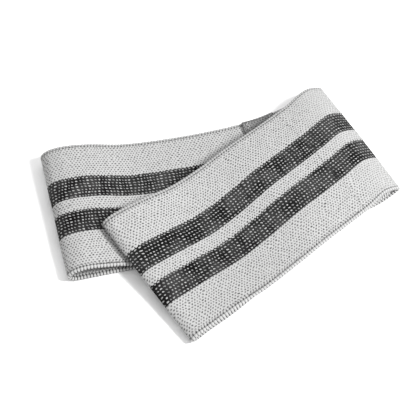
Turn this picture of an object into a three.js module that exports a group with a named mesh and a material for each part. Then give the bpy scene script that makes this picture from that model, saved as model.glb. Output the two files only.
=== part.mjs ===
// A woven fabric resistance band: one loop of 80 mm elastic webbing, pressed flat and folded in half,
// with the upper half fanned out over the lower half. Millimetres, +Z up, lying on z = 0.
//
// The strip runs round the loop through four flat layers and four folds:
//   front top -> front fold -> front under -> inner turn -> back top -> back fold -> back bottom
//   -> outer turn -> front top.
// The front layers and the front fold form the upper lobe. The back layers and the back fold form the
// lower lobe. The two turns cross the fold line, about which the upper lobe opens.

import * as THREE from 'three';

// Webbing
const BAND_WIDTH = 80;
const WEB_THICKNESS = 2;
const SELVEDGE_WIDTH = 2;
const STRIPE_WIDTH = 13.5;
const STRIPE_GAP = 8;
const PIECE_GAP = 0.3;

// Rubber threads lie in a flat channel inside each woven zone
const CHANNEL_HEIGHT = 1.2;
const CHANNEL_MARGIN = 1;
const CORE_HEIGHT = CHANNEL_HEIGHT - 2 * PIECE_GAP;

// Sewn overlap that closes the loop, on the outer face of the back top layer
const SEAM_START = 35;
const SEAM_LENGTH = 22;
const SEAM_THICKNESS = 1.4;
const SEAM_SIDE_MARGIN = 1;
const STITCH_WIDTH = 1.6;
const STITCH_HEIGHT = 0.5;
const STITCH_INSET = 3;

// Plan of the fold. Headings are degrees from +X towards +Y, of the line back to the fold.
const FOLD_POINT = new THREE.Vector2(74.88, 45.78);
const FOLD_NORMAL_HEADING = 27.8;
const FOLD_RULING_SLANT = 13.5;
const FRONT_LOBE = { heading: 44.5, turn: -8.5, length: 148 };
const BACK_LOBE = { heading: 16, turn: -3.5, length: 172 };
const SLANT_FADE = 60;

// Where the turns give way to the lobes, as distances from the fold line
const TURN_REACH = 30;

// Stations along the strip. Lobe rows give: distance from the fold line, how much further on the near
// edge is, sideways shift towards the far side, then the height of the far edge, middle and near edge.
const FRONT_TOP = [
  [8, 0, 0, 11.1, 12.4, 11.4],
  [24, 0, -1, 11.6, 14.2, 12.2],
  [42, 0, -1.5, 12.6, 14.6, 13.2],
  [62, 0, -1.5, 13, 13.8, 13.2],
  [82, 0, -2, 11.9, 10.4, 12.4],
  [102, 0, -2.5, 12.6, 8.6, 11.2],
  [122, 0, -1.5, 15.6, 9, 9.2],
  [137, 0, -1, 16.4, 9.6, 6.3],
  [144.4, 0, -1, 15.6, 9.2, 5.6],
];
const FRONT_FOLD = [[147, 0, -1, 13.2, 7.4, 3.4]];
const FRONT_UNDER = [
  [144.4, 0, -0.5, 10.9, 6.3, 1.4],
  [137, 0, 0.2, 9.8, 6.2, 1.3],
  [122, 0, 0.3, 9, 6, 2.6],
  [102, 0, 0.5, 7.8, 6, 6],
  [82, 0, 0.5, 7.4, 6.6, 7.6],
  [60, 0, 0.5, 8.7, 8.8, 9.1],
  [42, 0, 0.5, 8.7, 8.7, 8.9],
  [26, 0, 0.5, 8.3, 8.3, 8.3],
  [7, 0, 0, 8, 8, 8.1],
];
const BACK_TOP = [
  [7, 0, -2.5, 3.9, 3.9, 4],
  [27, 0, -7, 3.4, 3.4, 3.4],
  [47, 0, -11, 3.4, 3.4, 3.4],
  [75, 0, -12.5, 3.4, 3.4, 3.4],
  [103, 0, -12, 3.5, 3.4, 3.5],
  [126, 0, -11.5, 5.4, 4.4, 3.5],
  [145, -0.5, -11, 10.2, 9.2, 7],
  [159, -1, -11.2, 12, 11, 9.2],
  [166.5, -1.2, -11.4, 10.3, 9.4, 7.6],
];
const BACK_FOLD = [[169, -1.3, -11.5, 6.6, 5.8, 4.8]];
const BACK_BOTTOM = [
  [166.5, -1.2, -11.4, 2.6, 2.2, 1.8],
  [159, -1, -11.2, 1.25, 1.2, 1.15],
  [143, -0.5, -11, 1, 1, 1],
  [115, 0, -11, 1, 1, 1],
  [87, 0, -11.5, 1, 1, 1],
  [57, 0, -11.5, 1, 1, 1],
  [30, 0, -8, 1.03, 1.03, 1.03],
  [18, 0, -6, 1.2, 1.2, 1.2],
  [7, 0, -3, 1.4, 1.4, 1.4],
];
// Turn rows give: distance outward past the fold line, shift, and the three heights.
const INNER_TURN = [-4, -1, 5.9, 6, 6];
const OUTER_TURN = [2.4, -1, 5.2, 6.2, 6];

// Looks
const LIGHT_YARN = { color: 0xd9d9d7, roughness: 0.9, metalness: 0 };
const DARK_YARN = { color: 0x2b2b2d, roughness: 0.85, metalness: 0 };
const RUBBER = { color: 0xe8e2d2, roughness: 0.6, metalness: 0 };
const THREAD = { color: 0xc9c9c7, roughness: 0.8, metalness: 0 };

const HALF_WIDTH = BAND_WIDTH / 2;
const RAIL_SIDES = [1, 0, -1];

function direction(degrees) {
  const angle = THREE.MathUtils.degToRad(degrees);
  return new THREE.Vector2(Math.cos(angle), Math.sin(angle));
}

// Centre line of a lobe: an arc that leaves the fold point and curves by `turn` over its length.
function lobeFrame(lobe, distance) {
  const bend = THREE.MathUtils.degToRad(lobe.turn) / lobe.length;
  const start = THREE.MathUtils.degToRad(lobe.heading);
  const end = start + bend * distance;
  const centre = new THREE.Vector2(Math.sin(start) - Math.sin(end), Math.cos(end) - Math.cos(start))
    .divideScalar(bend)
    .add(FOLD_POINT);
  const onward = new THREE.Vector2(-Math.cos(end), -Math.sin(end));
  const far = new THREE.Vector2(-Math.sin(end), Math.cos(end));
  return { centre, onward, far };
}

function lobeStation(lobe, [distance, skew, shift, ...heights]) {
  const { centre, onward, far } = lobeFrame(lobe, distance);
  const fade = THREE.MathUtils.smoothstep(SLANT_FADE - distance, 0, SLANT_FADE);
  const slantAngle = THREE.MathUtils.degToRad(lobe.heading - FOLD_NORMAL_HEADING);
  const ahead = HALF_WIDTH * Math.tan(slantAngle) * fade + skew;
  return RAIL_SIDES.map((side, rail) => {
    const at = centre.clone().addScaledVector(onward, -side * ahead);
    at.addScaledVector(far, side * HALF_WIDTH + shift);
    return new THREE.Vector3(at.x, at.y, heights[rail]);
  });
}

function turnStation([outward, shift, ...heights]) {
  const normal = direction(FOLD_NORMAL_HEADING);
  const far = new THREE.Vector2(-normal.y, normal.x);
  const half = HALF_WIDTH / Math.cos(THREE.MathUtils.degToRad(FOLD_RULING_SLANT));
  return RAIL_SIDES.map((side, rail) => {
    const at = FOLD_POINT.clone().addScaledVector(normal, outward);
    at.addScaledVector(far, side * half + shift);
    return new THREE.Vector3(at.x, at.y, heights[rail]);
  });
}

const frontRow = (row) => lobeStation(FRONT_LOBE, row);
const backRow = (row) => lobeStation(BACK_LOBE, row);
const STATIONS = [
  ...[...FRONT_TOP, ...FRONT_FOLD, ...FRONT_UNDER].map(frontRow),
  turnStation(INNER_TURN),
  ...[...BACK_TOP, ...BACK_FOLD, ...BACK_BOTTOM].map(backRow),
  turnStation(OUTER_TURN),
];
const INNER_TURN_AT = FRONT_TOP.length + FRONT_FOLD.length + FRONT_UNDER.length;
const OUTER_TURN_AT = STATIONS.length - 1;
const RAILS = RAIL_SIDES.map((side, rail) => {
  const points = STATIONS.map((station) => station[rail]);
  return new THREE.CatmullRomCurve3(points, true, 'centripetal');
});

// Middle surface of the webbing: `along` counts stations round the loop, `across` is mm from the far edge.
function surfacePoint(along, across) {
  const count = STATIONS.length;
  const t = (((along % count) + count) % count) / count;
  const [far, middle, near] = RAILS.map((rail) => rail.getPoint(t));
  const v = across / BAND_WIDTH;
  return far.multiplyScalar((1 - v) * (1 - 2 * v))
    .addScaledVector(middle, 4 * v * (1 - v))
    .addScaledVector(near, v * (2 * v - 1));
}

// A point off the middle surface, `lift` mm towards the outer face of the loop.
function webPoint(along, across, lift) {
  const step = 0.02;
  const tangent = surfacePoint(along + step, across).sub(surfacePoint(along - step, across));
  const sideways = surfacePoint(along, across + 1).sub(surfacePoint(along, across - 1));
  const outward = tangent.cross(sideways).normalize();
  return surfacePoint(along, across).addScaledVector(outward, lift);
}

// Stretches of the strip, as ranges of stations. Each stretch ends half a gap short of its neighbour.
const START = STATIONS.length;
const TURN_FROM_TOP = 1 + (TURN_REACH - FRONT_TOP[1][0]) / (FRONT_TOP[2][0] - FRONT_TOP[1][0]);
const STRETCHES = {
  front: { from: TURN_FROM_TOP, to: INNER_TURN_AT - 2.25 },
  inner_turn: { from: INNER_TURN_AT - 2.25, to: INNER_TURN_AT + 2.15 },
  back: { from: INNER_TURN_AT + 2.15, to: OUTER_TURN_AT - 3 },
  outer_turn: { from: OUTER_TURN_AT - 3, to: START + TURN_FROM_TOP },
};
const STEP = 1 / 2;
const TURN_STEP = 1 / 4;

// Stations of the rings that a piece is swept through, closer together round the two turns.
function stationsBetween(from, to) {
  const alongs = [from];
  let next = Math.floor(from / STEP) * STEP;
  while (next < to - TURN_STEP / 2) {
    if (next > from + TURN_STEP / 2) {
      alongs.push(next);
    }
    const inTurn = [INNER_TURN_AT, OUTER_TURN_AT].some((turn) => next >= turn - 1 && next < turn + 1);
    next += inTurn ? TURN_STEP : STEP;
  }
  return [...alongs, to];
}

function trimmed({ from, to }) {
  const gapIn = (PIECE_GAP / 2) / surfacePoint(from, HALF_WIDTH).distanceTo(surfacePoint(from + 0.5, HALF_WIDTH)) / 2;
  const gapOut = (PIECE_GAP / 2) / surfacePoint(to - 0.5, HALF_WIDTH).distanceTo(surfacePoint(to, HALF_WIDTH)) / 2;
  return { from: from + 2 * gapIn, to: to - 2 * gapOut };
}

// Sweep a closed outline of [across, lift] points, with an optional channel through it.
function sweep(outline, channel, from, to) {
  const ring = [...outline, ...channel];
  const alongs = stationsBetween(from, to);
  const positions = [];
  for (const along of alongs) {
    for (const [across, lift] of ring) {
      positions.push(...webPoint(along, across, lift).toArray());
    }
  }
  const faces = [];
  const joinRing = (first, count, inwards) => {
    for (let row = 0; row < alongs.length - 1; row += 1) {
      for (let i = 0; i < count; i += 1) {
        const a = row * ring.length + first + i;
        const b = row * ring.length + first + ((i + 1) % count);
        const corners = [a, b, b + ring.length, a, b + ring.length, a + ring.length];
        faces.push(...(inwards ? corners.reverse() : corners));
      }
    }
  };
  joinRing(0, outline.length, false);
  joinRing(outline.length, channel.length, true);
  const flat = (points) => points.map(([x, y]) => new THREE.Vector2(x, y));
  const last = (alongs.length - 1) * ring.length;
  for (const [a, b, c] of THREE.ShapeUtils.triangulateShape(flat(outline), channel.length ? [flat(channel)] : [])) {
    faces.push(c, b, a, last + a, last + b, last + c);
  }
  const geometry = new THREE.BufferGeometry();
  geometry.setAttribute('position', new THREE.Float32BufferAttribute(positions, 3));
  geometry.setIndex(faces);
  return geometry;
}

function box(left, right, bottom, top) {
  return [[left, bottom], [right, bottom], [right, top], [left, top]];
}

// A woven zone's outline has a point half way across, so that it follows the crown of the band.
function zoneOutline(left, right) {
  const half = WEB_THICKNESS / 2;
  const centre = (left + right) / 2;
  return [[left, -half], [centre, -half], [right, -half], [right, half], [centre, half], [left, half]];
}

function cordOutline(centre) {
  const radius = WEB_THICKNESS / 2;
  const sides = 6;
  const points = [];
  for (let i = 0; i < sides; i += 1) {
    const angle = (2 * Math.PI * (i + 0.5)) / sides;
    points.push([centre + radius * 0.85 * Math.cos(angle), radius * Math.sin(angle)]);
  }
  return points;
}

const band = new THREE.Group();

function addPiece(name, geometry, look) {
  const mesh = new THREE.Mesh(geometry, new THREE.MeshStandardMaterial(look));
  mesh.name = name;
  band.add(mesh);
}

const stripeStart = (BAND_WIDTH - STRIPE_GAP) / 2 - STRIPE_WIDTH;
const ZONES = [
  { name: 'light_far_web', left: SELVEDGE_WIDTH, right: stripeStart, look: LIGHT_YARN },
  { name: 'dark_far_stripe', left: stripeStart, right: stripeStart + STRIPE_WIDTH, look: DARK_YARN },
  { name: 'light_centre_web', left: HALF_WIDTH - STRIPE_GAP / 2, right: HALF_WIDTH + STRIPE_GAP / 2, look: LIGHT_YARN },
  { name: 'dark_near_stripe', left: HALF_WIDTH + STRIPE_GAP / 2, right: BAND_WIDTH - stripeStart, look: DARK_YARN },
  { name: 'light_near_web', left: BAND_WIDTH - stripeStart, right: BAND_WIDTH - SELVEDGE_WIDTH, look: LIGHT_YARN },
];
const SELVEDGES = [
  { name: 'far_selvedge', centre: SELVEDGE_WIDTH / 2 },
  { name: 'near_selvedge', centre: BAND_WIDTH - SELVEDGE_WIDTH / 2 },
];

function addWebbing(stretchName, stretch) {
  const { from, to } = trimmed(stretch);
  for (const zone of ZONES) {
    const left = zone.left + PIECE_GAP / 2;
    const right = zone.right - PIECE_GAP / 2;
    const inset = CHANNEL_MARGIN + PIECE_GAP;
    const channel = box(left + CHANNEL_MARGIN, right - CHANNEL_MARGIN, -CHANNEL_HEIGHT / 2, CHANNEL_HEIGHT / 2);
    const core = box(left + inset, right - inset, -CORE_HEIGHT / 2, CORE_HEIGHT / 2);
    addPiece(`${stretchName}_${zone.name}`, sweep(zoneOutline(left, right), channel, from, to), zone.look);
    addPiece(`${stretchName}_${zone.name}_rubber_core`, sweep(core, [], from, to), RUBBER);
  }
  for (const selvedge of SELVEDGES) {
    addPiece(`${stretchName}_${selvedge.name}`, sweep(cordOutline(selvedge.centre), [], from, to), LIGHT_YARN);
  }
}

// Station of a distance from the fold line on the back top layer
function backTopStation(distance) {
  const next = BACK_TOP.findIndex(([at]) => at > distance);
  const [before, after] = [BACK_TOP[next - 1][0], BACK_TOP[next][0]];
  return INNER_TURN_AT + next + (distance - before) / (after - before);
}

function addSeam() {
  const bottom = WEB_THICKNESS / 2 + PIECE_GAP;
  const top = bottom + SEAM_THICKNESS;
  const left = SEAM_SIDE_MARGIN;
  const right = BAND_WIDTH - SEAM_SIDE_MARGIN;
  const end = SEAM_START + SEAM_LENGTH;
  const overlap = [[left, bottom], [HALF_WIDTH, bottom], [right, bottom], [right, top], [HALF_WIDTH, top], [left, top]];
  addPiece('seam_overlap', sweep(overlap, [], backTopStation(SEAM_START), backTopStation(end)), LIGHT_YARN);
  const rows = { seam_stitch_row_fold_side: SEAM_START + STITCH_INSET, seam_stitch_row_free_side: end - STITCH_INSET };
  const stitch = box(left + 1, right - 1, top + PIECE_GAP, top + PIECE_GAP + STITCH_HEIGHT);
  for (const [name, at] of Object.entries(rows)) {
    const from = backTopStation(at - STITCH_WIDTH / 2);
    addPiece(name, sweep(stitch, [], from, backTopStation(at + STITCH_WIDTH / 2)), THREAD);
  }
}

for (const [name, stretch] of Object.entries(STRETCHES)) {
  addWebbing(name, stretch);
}
addSeam();

export default band;
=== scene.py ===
"""A folded loop of woven elastic webbing, built over its CAD frame with woven surfaces and materials."""
import math

import bpy
import numpy as np
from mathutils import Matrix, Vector


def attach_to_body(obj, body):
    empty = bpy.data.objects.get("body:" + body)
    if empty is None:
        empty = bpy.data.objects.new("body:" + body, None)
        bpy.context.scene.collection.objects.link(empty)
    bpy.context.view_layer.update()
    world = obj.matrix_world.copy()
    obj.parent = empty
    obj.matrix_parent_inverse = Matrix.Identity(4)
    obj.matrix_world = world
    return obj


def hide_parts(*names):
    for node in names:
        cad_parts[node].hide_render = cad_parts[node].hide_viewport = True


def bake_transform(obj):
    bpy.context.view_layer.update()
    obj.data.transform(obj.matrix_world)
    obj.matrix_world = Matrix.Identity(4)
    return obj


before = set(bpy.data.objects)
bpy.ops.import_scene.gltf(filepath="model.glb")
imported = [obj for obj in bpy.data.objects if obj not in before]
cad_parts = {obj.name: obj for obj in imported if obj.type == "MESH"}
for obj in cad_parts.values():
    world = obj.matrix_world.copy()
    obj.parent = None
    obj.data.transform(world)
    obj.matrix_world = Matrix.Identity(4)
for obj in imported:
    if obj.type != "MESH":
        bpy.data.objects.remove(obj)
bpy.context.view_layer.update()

MM = 0.001

# Webbing, in millimetres
WIDTH = 80.0
THICKNESS = 2.0
SELVEDGE = 2.0
WEB_EDGE = 1.75
STRIPE = 13.5
STRIPE_GAP = 8.0
HALF = WIDTH / 2
FAR_STRIPE = HALF - STRIPE_GAP / 2 - STRIPE
NEAR_STRIPE = HALF + STRIPE_GAP / 2

# Weave, in millimetres: pitch along the strip, then across it
DOT_PITCH = (1.75, 1.36)
DASH_PITCH = (1.95, STRIPE / 7)
BEAD_PITCH = 1.7
# Reach of the painted highlight round the shared fold
HIGHLIGHT_REACH = 26.0
HOLE_DEPTH = 0.14
DASH_RISE = 0.16

# Mesh detail, in millimetres: along then across a web, along a cord, and along a stitch row
WEB_STEPS = (0.7, 0.6)
CORD_STEP = 0.28
CORD_SIDES = 12
STITCH_STEP = 0.25
STITCH_SIDES = 8

# Sewn overlap and its stitching, in millimetres
SEAM_START = 35.0
SEAM_LENGTH = 22.0
SEAM_BOTTOM = THICKNESS / 2 + 0.3
SEAM_TOP = SEAM_BOTTOM + 1.4
SEAM_MARGIN = 1.0
STITCH_WIDTH = 1.6
STITCH_LENGTH = 3.0
STITCH_INSET = 3.0
STITCH_MARGIN = 1.5
STITCH_LIFT = 0.52
THREAD_RADIUS = 0.22

# Studio
FLOOR_SIZE = 4.0
FLOOR_DEPTH = 0.2 * MM
FLOOR_COLOUR = (0.98, 0.98, 0.98, 1)
SKY_HORIZON = 0.15
SKY_TOP = 1.2
CAMERA_TARGET = (-5.72 * MM, 1.98 * MM, 0.0)
CAMERA_DISTANCE = 650 * MM
CAMERA_ELEVATION = 53.5
CAMERA_LENS = 105
CAMERA_SENSOR = 36

# Route of the strip, as in the CAD model
FOLD_POINT = np.array([74.88, 45.78])
NORMAL_HEADING = 27.8
RULING_SLANT = 13.5
FRONT_LOBE = {"heading": 44.5, "turn": -8.5, "length": 148.0}
BACK_LOBE = {"heading": 16.0, "turn": -3.5, "length": 172.0}
SLANT_FADE = 60.0
FRONT_TOP = [
    (8, 0, 0, 11.1, 12.4, 11.4), (24, 0, -1, 11.6, 14.2, 12.2), (42, 0, -1.5, 12.6, 14.6, 13.2),
    (62, 0, -1.5, 13, 13.8, 13.2), (82, 0, -2, 11.9, 10.4, 12.4), (102, 0, -2.5, 12.6, 8.6, 11.2),
    (122, 0, -1.5, 15.6, 9, 9.2), (137, 0, -1, 16.4, 9.6, 6.3), (144.4, 0, -1, 15.6, 9.2, 5.6),
]
FRONT_FOLD = [(147, 0, -1, 13.2, 7.4, 3.4)]
FRONT_UNDER = [
    (144.4, 0, -0.5, 10.9, 6.3, 1.4), (137, 0, 0.2, 9.8, 6.2, 1.3), (122, 0, 0.3, 9, 6, 2.6),
    (102, 0, 0.5, 7.8, 6, 6), (82, 0, 0.5, 7.4, 6.6, 7.6), (60, 0, 0.5, 8.7, 8.8, 9.1),
    (42, 0, 0.5, 8.7, 8.7, 8.9), (26, 0, 0.5, 8.3, 8.3, 8.3), (7, 0, 0, 8, 8, 8.1),
]
BACK_TOP = [
    (7, 0, -2.5, 3.9, 3.9, 4), (27, 0, -7, 3.4, 3.4, 3.4), (47, 0, -11, 3.4, 3.4, 3.4),
    (75, 0, -12.5, 3.4, 3.4, 3.4), (103, 0, -12, 3.5, 3.4, 3.5), (126, 0, -11.5, 5.4, 4.4, 3.5),
    (145, -0.5, -11, 10.2, 9.2, 7), (159, -1, -11.2, 12, 11, 9.2), (166.5, -1.2, -11.4, 10.3, 9.4, 7.6),
]
BACK_FOLD = [(169, -1.3, -11.5, 6.6, 5.8, 4.8)]
BACK_BOTTOM = [
    (166.5, -1.2, -11.4, 2.6, 2.2, 1.8), (159, -1, -11.2, 1.25, 1.2, 1.15), (143, -0.5, -11, 1, 1, 1),
    (115, 0, -11, 1, 1, 1), (87, 0, -11.5, 1, 1, 1), (57, 0, -11.5, 1, 1, 1),
    (30, 0, -8, 1.03, 1.03, 1.03), (18, 0, -6, 1.2, 1.2, 1.2), (7, 0, -3, 1.4, 1.4, 1.4),
]
INNER_TURN = (-4, -1, 5.9, 6, 6)
OUTER_TURN = (2.4, -1, 5.2, 6.2, 6)
SIDES = (1, 0, -1)


def smooth01(x):
    x = np.clip(x, 0, 1)
    return x * x * (3 - 2 * x)


def lobe_station(lobe, row):
    distance, skew, shift, *heights = row
    bend = math.radians(lobe["turn"]) / lobe["length"]
    start = math.radians(lobe["heading"])
    end = start + bend * distance
    turned = np.array([math.sin(start) - math.sin(end), math.cos(end) - math.cos(start)])
    centre = FOLD_POINT + turned / bend
    onward = np.array([-math.cos(end), -math.sin(end)])
    far = np.array([-math.sin(end), math.cos(end)])
    slant = math.radians(lobe["heading"] - NORMAL_HEADING)
    ahead = HALF * math.tan(slant) * float(smooth01(1 - distance / SLANT_FADE)) + skew
    points = []
    for side, height in zip(SIDES, heights):
        at = centre - onward * side * ahead + far * (side * HALF + shift)
        points.append((at[0], at[1], height))
    return points


def turn_station(row):
    outward, shift, *heights = row
    heading = math.radians(NORMAL_HEADING)
    normal = np.array([math.cos(heading), math.sin(heading)])
    far = np.array([-normal[1], normal[0]])
    half = HALF / math.cos(math.radians(RULING_SLANT))
    points = []
    for side, height in zip(SIDES, heights):
        at = FOLD_POINT + normal * outward + far * (side * half + shift)
        points.append((at[0], at[1], height))
    return points


STATIONS = np.array(
    [lobe_station(FRONT_LOBE, row) for row in FRONT_TOP + FRONT_FOLD + FRONT_UNDER]
    + [turn_station(INNER_TURN)]
    + [lobe_station(BACK_LOBE, row) for row in BACK_TOP + BACK_FOLD + BACK_BOTTOM]
    + [turn_station(OUTER_TURN)]
)
COUNT = len(STATIONS)
INNER_AT = len(FRONT_TOP) + len(FRONT_FOLD) + len(FRONT_UNDER)
OUTER_AT = COUNT - 1


def rail_points(rail, along):
    """Closed centripetal Catmull-Rom curve through one rail's stations."""
    index = np.floor(along).astype(int)
    w = (along - index)[:, None]
    p0, p1, p2, p3 = (STATIONS[(index + k) % COUNT, rail] for k in (-1, 0, 1, 2))
    spans = ((p0, p1), (p1, p2), (p2, p3))
    d0, d1, d2 = (np.sqrt(np.linalg.norm(b - a, axis=1))[:, None] for a, b in spans)
    t1 = ((p1 - p0) / d0 - (p2 - p0) / (d0 + d1) + (p2 - p1) / d1) * d1
    t2 = ((p2 - p1) / d1 - (p3 - p1) / (d1 + d2) + (p3 - p2) / d2) * d1
    cubic = 2 * p1 - 2 * p2 + t1 + t2
    square = -3 * p1 + 3 * p2 - 2 * t1 - t2
    return p1 + t1 * w + square * w**2 + cubic * w**3


def across_mix(rails, across):
    """Quadratic through the far, middle and near rail values, for every along and across pair."""
    far, middle, near = (np.asarray(r)[:, None] for r in rails)
    v = (np.asarray(across) / WIDTH)[None, :]
    if far.ndim == 3:
        v = v[:, :, None]
    return far * (1 - v) * (1 - 2 * v) + middle * 4 * v * (1 - v) + near * v * (2 * v - 1)


def surface(along, across):
    return across_mix([rail_points(r, along) for r in range(3)], across)


# Length along each rail, for the weave's own coordinate
TABLE_U = np.linspace(0, COUNT + 6, 64 * (COUNT + 6) + 1)
TABLE_S = []
for table_rail in range(3):
    steps = np.linalg.norm(np.diff(rail_points(table_rail, TABLE_U), axis=0), axis=1)
    TABLE_S.append(np.concatenate([[0], np.cumsum(steps)]))
LOOP_LENGTH = float(np.interp(COUNT, TABLE_U, TABLE_S[1]))


def lengths(along, across):
    return across_mix([np.interp(along, TABLE_U, s) for s in TABLE_S], across)


def samples(start, end, step):
    """Stations from start to end, evenly spaced along the middle rail."""
    s0, s1 = np.interp([start, end], TABLE_U, TABLE_S[1])
    count = max(2, int(round((s1 - s0) / step)) + 1)
    return np.interp(np.linspace(s0, s1, count), TABLE_S[1], TABLE_U)


def outward(along, across):
    """Unit normal towards the loop's outer face."""
    step = 0.02
    tangent = surface(along + step, across) - surface(along - step, across)
    sideways = surface(along, np.asarray(across) + 1) - surface(along, np.asarray(across) - 1)
    normal = np.cross(tangent, sideways)
    return normal / np.linalg.norm(normal, axis=2, keepdims=True)


# Woven relief

def dot_holes(s, v):
    """1 at the small holes of the light weave, which stand in a staggered lattice."""
    row = np.floor(v / DOT_PITCH[1])
    x = (s / DOT_PITCH[0] + 0.5 * np.mod(row, 2)) % 1 - 0.5
    y = (v / DOT_PITCH[1]) % 1 - 0.5
    return np.exp(-((x * x + y * y) / 0.045))


def dashes(s, v):
    """1 on the raised pale dashes of the dark stripes."""
    x = (s / DASH_PITCH[0]) % 1 - 0.5
    y = ((v - FAR_STRIPE) / DASH_PITCH[1]) % 1 - 0.5
    return np.exp(-(x * x / 0.08 + y * y / 0.05))


def in_stripe(v):
    far = (v > FAR_STRIPE) & (v < FAR_STRIPE + STRIPE)
    near = (v > NEAR_STRIPE) & (v < NEAR_STRIPE + STRIPE)
    return far | near


def relief(s, v):
    """Height of the woven face in millimetres, with a soft unevenness from hand folding."""
    raised = DASH_RISE * dashes(s, v) - DASH_RISE
    woven = np.where(in_stripe(v), raised, -HOLE_DEPTH * dot_holes(s, v))
    uneven = 0.07 * np.sin(s / 5.3 + v / 9) * np.sin(v / 4.1 + 1.2) + 0.05 * np.sin(s / 2.7 - v / 6)
    return woven + uneven - 0.02


# Meshes

def fold_highlight(s):
    """1 round the apex of the shared fold, falling off along the loop: there the holes and edge gaps are
    painted fainter, as painted highlight of the brightly lit fold.
    """
    apex = float(np.interp(OUTER_AT, TABLE_U, TABLE_S[1]))
    away = np.abs((s - apex + LOOP_LENGTH / 2) % LOOP_LENGTH - LOOP_LENGTH / 2)
    return np.exp(-((away / HIGHLIGHT_REACH) ** 2))


def mesh_object(name, vertices, faces, flat_faces, weave):
    mesh = bpy.data.meshes.new(name)
    mesh.from_pydata((vertices * MM).tolist(), [], faces)
    mesh.polygons.foreach_set("use_smooth", [index not in flat_faces for index in range(len(faces))])
    attribute = mesh.attributes.new("weave", "FLOAT_VECTOR", "POINT")
    attribute.data.foreach_set("vector", weave.astype(np.float32).ravel())
    mesh.update()
    obj = bpy.data.objects.new(name, mesh)
    bpy.context.scene.collection.objects.link(obj)
    return obj


def grid_faces(rows, columns, first, flip):
    index = first + np.arange(rows * columns).reshape(rows, columns)
    a, b = index[:-1, :-1].ravel(), index[:-1, 1:].ravel()
    c, d = index[1:, 1:].ravel(), index[1:, :-1].ravel()
    quads = np.stack([a, d, c, b] if flip else [a, b, c, d], axis=1)
    return quads.tolist()


def web_piece(name, start, end, v0, v1, lift0, lift1):
    """A closed slab of webbing between two stations, two widths and two lifts, woven on both faces."""
    along = samples(start, end, WEB_STEPS[0])
    across = np.linspace(v0, v1, int(round((v1 - v0) / WEB_STEPS[1])) + 1)
    middle, normal = surface(along, across), outward(along, across)
    s, v = lengths(along, across), np.broadcast_to(across, (len(along), len(across)))
    woven = relief(s, v)[:, :, None]
    upper = middle + normal * (lift1 + woven)
    lower = middle + normal * (lift0 - woven)
    rows, columns = s.shape
    n = rows * columns
    vertices = np.concatenate([upper.reshape(n, 3), lower.reshape(n, 3)])
    weave = np.stack([s.ravel(), v.ravel(), fold_highlight(s).ravel()], axis=1)
    faces = grid_faces(rows, columns, 0, False) + grid_faces(rows, columns, n, True)
    top = np.arange(n).reshape(rows, columns)
    walls = []
    for edge in (top[0], top[:, -1], top[-1][::-1], top[::-1, 0]):
        for a, b in zip(edge[:-1].tolist(), edge[1:].tolist()):
            walls.append([b, a, a + n, b + n])
    flat_faces = set(range(len(faces), len(faces) + len(walls)))
    return mesh_object(name, vertices, faces + walls, flat_faces, np.concatenate([weave, weave]))


def tube_faces(rows, sides, flip):
    """Quads round a tube of rings, then two end caps. Gives the faces and which of them are caps."""
    faces = []
    for row in range(rows - 1):
        for i in range(sides):
            a, b = row * sides + i, row * sides + (i + 1) % sides
            if flip:
                a, b = b, a
            faces.append([a, b, b + sides, a + sides])
    first = list(range(sides))
    last = [(rows - 1) * sides + i for i in range(sides)]
    caps = [first, last[::-1]] if flip else [first[::-1], last]
    return faces + caps, {len(faces), len(faces) + 1}


def cord_piece(name, start, end, centre, side):
    """A selvedge: a rounded cord of small beads, each a turn of the weft yarn."""
    along = samples(start, end, CORD_STEP)
    across = np.array([centre])
    middle, normal = surface(along, across)[:, 0], outward(along, across)[:, 0]
    sideways = (surface(along, across + 0.5) - surface(along, across - 0.5))[:, 0]
    sideways /= np.linalg.norm(sideways, axis=1, keepdims=True)
    s = lengths(along, across)[:, 0]
    bead = np.abs(np.sin(math.pi * s / BEAD_PITCH))
    width = (SELVEDGE / 2) * (0.8 + 0.2 * bead)
    height = (THICKNESS / 2) * (0.8 + 0.2 * bead)
    sides = CORD_SIDES
    angles = 2 * math.pi * np.arange(sides) / sides
    rise = height[:, None] * np.sin(angles)
    spread = side * 0.12 * bead[:, None] + width[:, None] * np.cos(angles)
    loops = middle[:, None] + normal[:, None] * rise[:, :, None]
    loops = loops + sideways[:, None] * spread[:, :, None]
    rows = len(along)
    upness = np.tile(np.sin(angles), rows)
    weave = np.stack([np.repeat(s, sides), np.full(rows * sides, centre), upness], axis=1)
    faces, caps = tube_faces(rows, sides, False)
    return mesh_object(name, loops.reshape(-1, 3), faces, caps, weave)


# Materials

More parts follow.
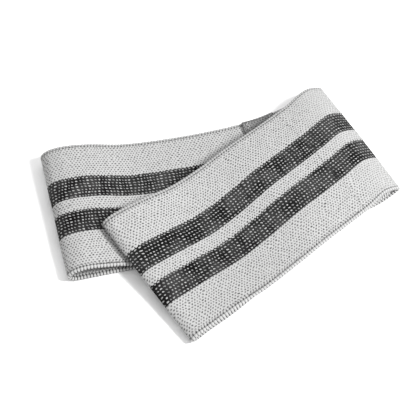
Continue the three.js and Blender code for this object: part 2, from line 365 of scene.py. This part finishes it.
class Shader:
    """A small builder for node materials."""

    def __init__(self, name):
        self.material = bpy.data.materials.new(name)
        self.material.use_nodes = True
        self.nodes = self.material.node_tree.nodes
        self.links = self.material.node_tree.links
        self.surface = self.nodes["Principled BSDF"]

    def put(self, socket, value):
        if isinstance(value, bpy.types.NodeSocket):
            self.links.new(value, socket)
        else:
            socket.default_value = value

    def math(self, operation, *values):
        node = self.nodes.new("ShaderNodeMath")
        node.operation = operation
        for socket, value in zip(node.inputs, values):
            self.put(socket, value)
        return node.outputs[0]

    def smooth(self, value, low, high, start=0.0, end=1.0):
        node = self.nodes.new("ShaderNodeMapRange")
        node.interpolation_type = "SMOOTHSTEP"
        for socket, number in zip(node.inputs, (value, low, high, start, end)):
            self.put(socket, number)
        return node.outputs[0]

    def mix(self, factor, a, b):
        node = self.nodes.new("ShaderNodeMix")
        node.data_type = "RGBA"
        self.put(node.inputs[0], factor)
        self.put(node.inputs[6], a)
        self.put(node.inputs[7], b)
        return node.outputs[2]

    def weave(self):
        node = self.nodes.new("ShaderNodeAttribute")
        node.attribute_name = "weave"
        split = self.nodes.new("ShaderNodeSeparateXYZ")
        self.links.new(node.outputs["Vector"], split.inputs[0])
        self.vector = node.outputs["Vector"]
        return split.outputs[0], split.outputs[1], split.outputs[2]

    def noise(self, scale, detail=2.0):
        node = self.nodes.new("ShaderNodeTexNoise")
        self.links.new(self.vector, node.inputs["Vector"])
        node.inputs["Scale"].default_value = scale
        node.inputs["Detail"].default_value = detail
        return node.outputs["Fac"]

    def wander(self, value, scale, reach):
        """The value, moved a little to and fro, so that the yarns lie unevenly."""
        return self.math("ADD", value, self.smooth(self.noise(scale, 1.0), 0.2, 0.8, -reach, reach))

    def centred(self, value, pitch, offset=0.0):
        """Position inside a repeating cell, from -0.5 to 0.5."""
        cell = self.math("FRACT", self.math("ADD", self.math("DIVIDE", value, pitch), offset))
        return self.math("SUBTRACT", cell, 0.5)

    def ellipse(self, x, y, rx, ry):
        """Squared distance from a cell's middle, 1 on the ellipse."""
        a = self.math("POWER", self.math("DIVIDE", self.math("ABSOLUTE", x), rx), 2.0)
        b = self.math("POWER", self.math("DIVIDE", self.math("ABSOLUTE", y), ry), 2.0)
        return self.math("ADD", a, b)

    def bump(self, height, distance, strength=1.0):
        node = self.nodes.new("ShaderNodeBump")
        node.inputs["Distance"].default_value = distance
        node.inputs["Strength"].default_value = strength
        self.links.new(height, node.inputs["Height"])
        self.links.new(node.outputs[0], self.surface.inputs["Normal"])


def grey(level):
    return (level, level, level * 0.995, 1.0)


LIGHT_YARN = grey(0.48)
# Pale yarn in painted shade round the holes, also used for its darker random tone
LIGHT_SHADE = grey(0.32)
HOLE = grey(0.03)
BLACK_WARP = grey(0.003)
GREY_WARP = grey(0.012)
DASH_DIM = grey(0.09)
DASH_BRIGHT = grey(0.44)
# Painted shade for the seam ply
SEAM_PAINTED_SHADE = grey(0.06)
EDGE_GAP = (0.2, 0.4)
EDGE_REACH = (2.2, 3.6)
CORD_LIGHT = grey(0.47)
CORD_SHADE = grey(0.33)
# Painted shade for the far selvedge cord
FAR_CORD_PAINTED_SHADE = grey(0.12)
WORN_GREY = grey(0.35)
THREAD_SHADE = grey(0.35)
THREAD_LIGHT = grey(0.6)
SHEEN = 0.06

# Radii of a hole and of a dash, as shares of their cell
HOLE_RADII = (0.2, 0.25)
DASH_RADII = (0.29, 0.2)


def band_mask(sh, v, start, spikes):
    """1 inside a dark stripe, whose far border carries short spikes of black yarn."""
    low = sh.math("SUBTRACT", start + 0.15, spikes)
    above = sh.smooth(sh.math("SUBTRACT", v, low), -0.12, 0.12)
    below = sh.smooth(v, start + STRIPE - 0.15, start + STRIPE + 0.15, 1.0, 0.0)
    return sh.math("MULTIPLY", above, below)


def light_ground(sh, s, v, highlight_share, fine, patchy):
    """A staggered lattice of small dark holes between pale yarns. Gives its colour and height."""
    row = sh.math("FLOOR", sh.math("DIVIDE", v, DOT_PITCH[1]))
    stagger = sh.math("MULTIPLY", sh.math("MODULO", row, 2.0), 0.5)
    x, y = sh.centred(s, DOT_PITCH[0], stagger), sh.centred(v, DOT_PITCH[1])
    near_hole = sh.ellipse(x, y, *HOLE_RADII)
    hole = sh.smooth(near_hole, 0.2, 1.6, 1.0, 0.0)
    # The pale yarn is darkened with painted shade where it rounds down towards each hole
    hole_rim_shade = sh.smooth(near_hole, 1.0, 4.0)
    colour = sh.mix(hole_rim_shade, LIGHT_SHADE, LIGHT_YARN)
    colour = sh.mix(sh.smooth(fine, 0.35, 0.7, 0.0, 0.5), colour, LIGHT_SHADE)
    open_hole = sh.math("MULTIPLY", hole, sh.smooth(patchy, 0.25, 0.7, 0.45, 1.0))
    # The holes fade with painted highlight round the shared fold
    open_hole = sh.math("MULTIPLY", open_hole, sh.smooth(highlight_share, 0.0, 1.0, 1.0, 0.25))
    colour = sh.mix(open_hole, colour, HOLE)
    crown = sh.smooth(near_hole, 0.0, 4.0, 0.5, 1.0)
    height = sh.math("MULTIPLY", sh.math("SUBTRACT", 1.0, hole), crown)
    return colour, height


def dark_stripe(sh, s, v, fine):
    """Black lengthwise yarn over columns of pale dashes. Gives its colour, height and place along a cell."""
    from_edge = sh.math("SUBTRACT", v, FAR_STRIPE)
    dash_row = sh.math("FLOOR", sh.math("DIVIDE", from_edge, DASH_PITCH[1]))
    lean = sh.math("MULTIPLY", sh.math("MODULO", dash_row, 2.0), 0.05)
    dx, dy = sh.centred(s, DASH_PITCH[0], lean), sh.centred(from_edge, DASH_PITCH[1])
    slanted = sh.math("ADD", dy, sh.math("MULTIPLY", dx, 0.3))
    dash = sh.smooth(sh.ellipse(dx, slanted, *DASH_RADII), 0.3, 1.4, 1.0, 0.0)
    # Columns step down in brightness in threes
    column = sh.math("FLOOR", sh.math("DIVIDE", s, DASH_PITCH[0]))
    rank = sh.smooth(sh.math("FLOORED_MODULO", column, 3.0), 0.0, 2.0, 0.9, 0.35)
    lit = sh.math("ADD", rank, sh.smooth(fine, 0.3, 0.7, -0.2, 0.2))
    warp = sh.mix(sh.smooth(fine, 0.4, 0.75), BLACK_WARP, GREY_WARP)
    colour = sh.mix(dash, warp, sh.mix(lit, DASH_DIM, DASH_BRIGHT))
    height = sh.smooth(dash, 0.0, 1.0, 0.2, 0.9)
    return colour, height, dx


def edge_gaps(sh, s, v, highlight_share):
    """Darkness of the gaps along both edges, where each turn of the selvedge yarn enters the webbing."""
    inward = sh.math("MINIMUM", v, sh.math("SUBTRACT", WIDTH, v))
    gap = sh.smooth(sh.math("ABSOLUTE", sh.centred(s, BEAD_PITCH)), *EDGE_GAP)
    gap = sh.math("MULTIPLY", gap, sh.smooth(inward, *EDGE_REACH, 0.6, 0.0))
    # The gaps fade with painted highlight round the shared fold
    return sh.math("MULTIPLY", gap, sh.smooth(highlight_share, 0.0, 0.8, 1.0, 0.2))


def webbing_material(name, shade):
    """Striped webbing. `shade` darkens the yarn with painted shade, from 0 for none to 1."""
    sh = Shader(name)
    true_s, true_v, highlight_share = sh.weave()
    fine, patchy, broad = sh.noise(2.2, 3.0), sh.noise(0.45, 1.0), sh.noise(0.09, 2.0)
    s = sh.wander(sh.wander(true_s, 0.11, 0.8), 0.7, 0.3)
    v = sh.wander(true_v, 0.5, 0.2)
    ground, light_height = light_ground(sh, s, v, highlight_share, fine, patchy)
    stripe, dark_height, dash_place = dark_stripe(sh, s, v, fine)
    spike = sh.smooth(sh.math("ABSOLUTE", dash_place), 0.0, 0.3, 0.85, 0.0)
    stripes = [band_mask(sh, true_v, edge, spike) for edge in (FAR_STRIPE, NEAR_STRIPE)]
    dark = sh.math("MAXIMUM", *stripes)
    colour = sh.mix(dark, ground, stripe)
    colour = sh.mix(sh.smooth(broad, 0.3, 0.7, 0.0, 0.10), colour, WORN_GREY)
    colour = sh.mix(edge_gaps(sh, true_s, true_v, highlight_share), colour, HOLE)
    # Painted shade over the whole yarn, by the share `shade`
    colour = sh.mix(shade, colour, SEAM_PAINTED_SHADE)
    sh.put(sh.surface.inputs["Base Color"], colour)
    light_part = sh.math("MULTIPLY", sh.math("SUBTRACT", 1.0, dark), light_height)
    height = sh.math("ADD", sh.math("MULTIPLY", dark, dark_height), light_part)
    height = sh.math("ADD", height, sh.math("MULTIPLY", fine, 0.5))
    sh.bump(height, 0.25 * MM, 0.8)
    sh.put(sh.surface.inputs["Roughness"], sh.smooth(height, 0.0, 1.3, 0.95, 0.78))
    sh.surface.inputs["Specular IOR Level"].default_value = SHEEN
    return sh.material


def selvedge_material():
    sh = Shader("selvedge_yarn")
    s, v, upness = sh.weave()
    fine = sh.noise(3.0, 3.0)
    x = sh.math("ABSOLUTE", sh.centred(s, BEAD_PITCH, 0.0))
    # The gaps between the beads are dark; on the cord's sides and underside they are deepened with painted
    # shade, fainter on its top
    groove = sh.math("MULTIPLY", sh.smooth(x, 0.26, 0.44), sh.smooth(upness, 0.2, 0.95, 1.0, 0.55))
    colour = sh.mix(groove, CORD_LIGHT, HOLE)
    colour = sh.mix(sh.smooth(fine, 0.35, 0.65, 0.0, 0.25), colour, CORD_SHADE)
    # The far cord is painted a little greyer than the near one: painted shade standing for the shadow along
    # the upper half's far edge, laid on every far cord
    colour = sh.mix(sh.smooth(v, HALF - 1, HALF + 1, 0.22, 0.0), colour, FAR_CORD_PAINTED_SHADE)
    sh.put(sh.surface.inputs["Base Color"], colour)
    sh.bump(sh.math("ADD", sh.math("SUBTRACT", 1.0, groove), fine), 0.15 * MM, 0.7)
    sh.put(sh.surface.inputs["Roughness"], sh.smooth(fine, 0.3, 0.7, 0.8, 0.95))
    sh.surface.inputs["Specular IOR Level"].default_value = SHEEN
    return sh.material


def thread_material():
    sh = Shader("sewing_thread")
    s, v, _ = sh.weave()
    twist = sh.math("SINE", sh.math("ADD", sh.math("MULTIPLY", s, 9.0), sh.math("MULTIPLY", v, 6.0)))
    colour = sh.mix(sh.smooth(twist, -1.0, 1.0), THREAD_SHADE, THREAD_LIGHT)
    sh.put(sh.surface.inputs["Base Color"], colour)
    sh.bump(twist, 0.1 * MM, 0.6)
    sh.surface.inputs["Roughness"].default_value = 0.8
    return sh.material


# The seam ply is darkened with painted shade, standing for the shadow it lies in beside the upper half
WEBBING = webbing_material("woven_webbing", 0.0)
SEAM_PLY_PAINTED_SHADE = webbing_material("seam_ply_painted_shade", 0.6)
SELVEDGE_YARN, THREAD = selvedge_material(), thread_material()


def dress(obj, material, nodes):
    obj.data.materials.append(material)
    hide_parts(*nodes)
    return obj


# The strip, in the same four stretches as the CAD model
REACH = 30.0
TOP_CUT = 1 + (REACH - FRONT_TOP[1][0]) / (FRONT_TOP[2][0] - FRONT_TOP[1][0])
STRETCHES = {
    "front": (TOP_CUT, INNER_AT - 2.25),
    "inner_turn": (INNER_AT - 2.25, INNER_AT + 2.15),
    "back": (INNER_AT + 2.15, OUTER_AT - 3),
    "outer_turn": (OUTER_AT - 3, COUNT + TOP_CUT),
}
ZONES = ("light_far_web", "dark_far_stripe", "light_centre_web", "dark_near_stripe", "light_near_web")
BODY = {"front": "upper_lobe", "back": "lower_lobe"}


def attach(obj, stretch):
    if stretch in BODY:
        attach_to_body(obj, BODY[stretch])
        return
    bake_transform(obj)


for stretch, (start, end) in STRETCHES.items():
    zone_nodes = [f"{stretch}_{zone}" for zone in ZONES]
    cores = [f"{node}_rubber_core" for node in zone_nodes]
    web = web_piece(
        f"{stretch}_webbing", start, end, WEB_EDGE, WIDTH - WEB_EDGE, -THICKNESS / 2, THICKNESS / 2)
    dress(web, WEBBING, zone_nodes + cores)
    attach(web, stretch)
    for edge, centre, side in (("far", SELVEDGE / 2, -1), ("near", WIDTH - SELVEDGE / 2, 1)):
        cord = cord_piece(f"{stretch}_{edge}_selvedge_cord", start, end, centre, side)
        dress(cord, SELVEDGE_YARN, [f"{stretch}_{edge}_selvedge"])
        attach(cord, stretch)

# Sewn overlap and its stitching, on the back top layer

def back_top_station(distance):
    rows = [row[0] for row in BACK_TOP]
    return INNER_AT + 1 + float(np.interp(distance, rows, np.arange(len(rows))))


def stitch_path(distance, across):
    """Middle of a row's thread, which swings to and fro across the row as it goes over the overlap."""
    at = back_top_station(distance)
    swing = STITCH_WIDTH / 2 * np.sin(across * 2 * math.pi / STITCH_LENGTH)
    ends = surface(np.array([at + 0.1]), [HALF]) - surface(np.array([at]), [HALF])
    per_station = np.linalg.norm(ends) * 10
    lift = SEAM_TOP + STITCH_LIFT
    points = []
    for v, offset in zip(across, swing):
        where = np.array([at + offset / per_station])
        points.append((surface(where, [v]) + outward(where, [v]) * lift)[0, 0])
    return np.array(points)


def stitch_row(name, distance):
    """A row of short slanted stitches, joined by the thread between them."""
    margin = SEAM_MARGIN + STITCH_MARGIN
    across = np.arange(margin, WIDTH - margin, STITCH_STEP)
    centre = stitch_path(distance, across)
    ahead = np.gradient(centre, axis=0)
    ahead /= np.linalg.norm(ahead, axis=1, keepdims=True)
    up = np.array([0.0, 0.0, 1.0])
    side = np.cross(ahead, up)
    sides = STITCH_SIDES
    angles = 2 * math.pi * np.arange(sides) / sides
    ring = side[:, None] * np.cos(angles)[None, :, None] + up * np.sin(angles)[None, :, None]
    points = centre[:, None] + THREAD_RADIUS * ring
    rows = len(across)
    weave = np.stack([np.repeat(across, sides), np.tile(angles, rows), np.zeros(rows * sides)], axis=1)
    faces, caps = tube_faces(rows, sides, True)
    return mesh_object(name, points.reshape(-1, 3), faces, caps, weave)


seam = web_piece(
    "seam_overlap_webbing", back_top_station(SEAM_START), back_top_station(SEAM_START + SEAM_LENGTH),
    SEAM_MARGIN, WIDTH - SEAM_MARGIN, SEAM_BOTTOM, SEAM_TOP)
dress(seam, SEAM_PLY_PAINTED_SHADE, ["seam_overlap"])
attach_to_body(seam, "lower_lobe")
STITCH_ROWS = {"fold": SEAM_START + STITCH_INSET, "free": SEAM_START + SEAM_LENGTH - STITCH_INSET}
for side_name, distance in STITCH_ROWS.items():
    stitch = stitch_row(f"seam_stitching_{side_name}_side", distance)
    dress(stitch, THREAD, [f"seam_stitch_row_{side_name}_side"])
    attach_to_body(stitch, "lower_lobe")


# Stage

def add_floor():
    mesh = bpy.data.meshes.new("floor")
    size = FLOOR_SIZE
    corners = [(-size, -size, 0), (size, -size, 0), (size, size, 0), (-size, size, 0)]
    mesh.from_pydata(corners, [], [(0, 1, 2, 3)])
    floor = bpy.data.objects.new("floor", mesh)
    bpy.context.scene.collection.objects.link(floor)
    material = bpy.data.materials.new("floor")
    material.use_nodes = True
    surface_node = material.node_tree.nodes["Principled BSDF"]
    surface_node.inputs["Base Color"].default_value = FLOOR_COLOUR
    surface_node.inputs["Roughness"].default_value = 0.9
    mesh.materials.append(material)
    floor.location.z = -FLOOR_DEPTH


def add_light(name, location, size, energy):
    lamp = bpy.data.lights.new(name, "AREA")
    lamp.shape = "DISK"
    lamp.size = size
    lamp.energy = energy
    light = bpy.data.objects.new(name, lamp)
    light.location = location
    light.rotation_euler = (-Vector(location)).to_track_quat("-Z", "Y").to_euler()
    bpy.context.scene.collection.objects.link(light)


def add_world():
    """A studio sky, brighter overhead than at the horizon."""
    world = bpy.data.worlds.new("studio")
    world.use_nodes = True
    nodes, links = world.node_tree.nodes, world.node_tree.links
    split = nodes.new("ShaderNodeSeparateXYZ")
    links.new(nodes.new("ShaderNodeTexCoord").outputs["Generated"], split.inputs[0])
    ramp = nodes.new("ShaderNodeMapRange")
    for socket, number in zip(list(ramp.inputs)[1:5], (0.0, 1.0, SKY_HORIZON, SKY_TOP)):
        socket.default_value = number
    links.new(split.outputs[2], ramp.inputs[0])
    links.new(ramp.outputs[0], nodes["Background"].inputs[1])
    nodes["Background"].inputs[0].default_value = (1, 1, 1, 1)
    bpy.context.scene.world = world


def add_camera():
    data = bpy.data.cameras.new("camera")
    data.lens = CAMERA_LENS
    data.sensor_width = CAMERA_SENSOR
    camera = bpy.data.objects.new("camera", data)
    tilt = math.radians(CAMERA_ELEVATION)
    reach = Vector((0, -math.cos(tilt), math.sin(tilt))) * CAMERA_DISTANCE
    camera.location = Vector(CAMERA_TARGET) + reach
    camera.rotation_euler = (math.pi / 2 - tilt, 0, 0)
    bpy.context.scene.collection.objects.link(camera)
    bpy.context.scene.camera = camera


add_floor()
add_light("key", (0.72, -0.25, 0.8), 0.3, 14.0)
add_light("fill", (0.3, 0.7, 0.9), 0.8, 0.8)
add_world()
add_camera()
bpy.context.scene.view_settings.view_transform = "Standard"

bpy.context.view_layer.update()
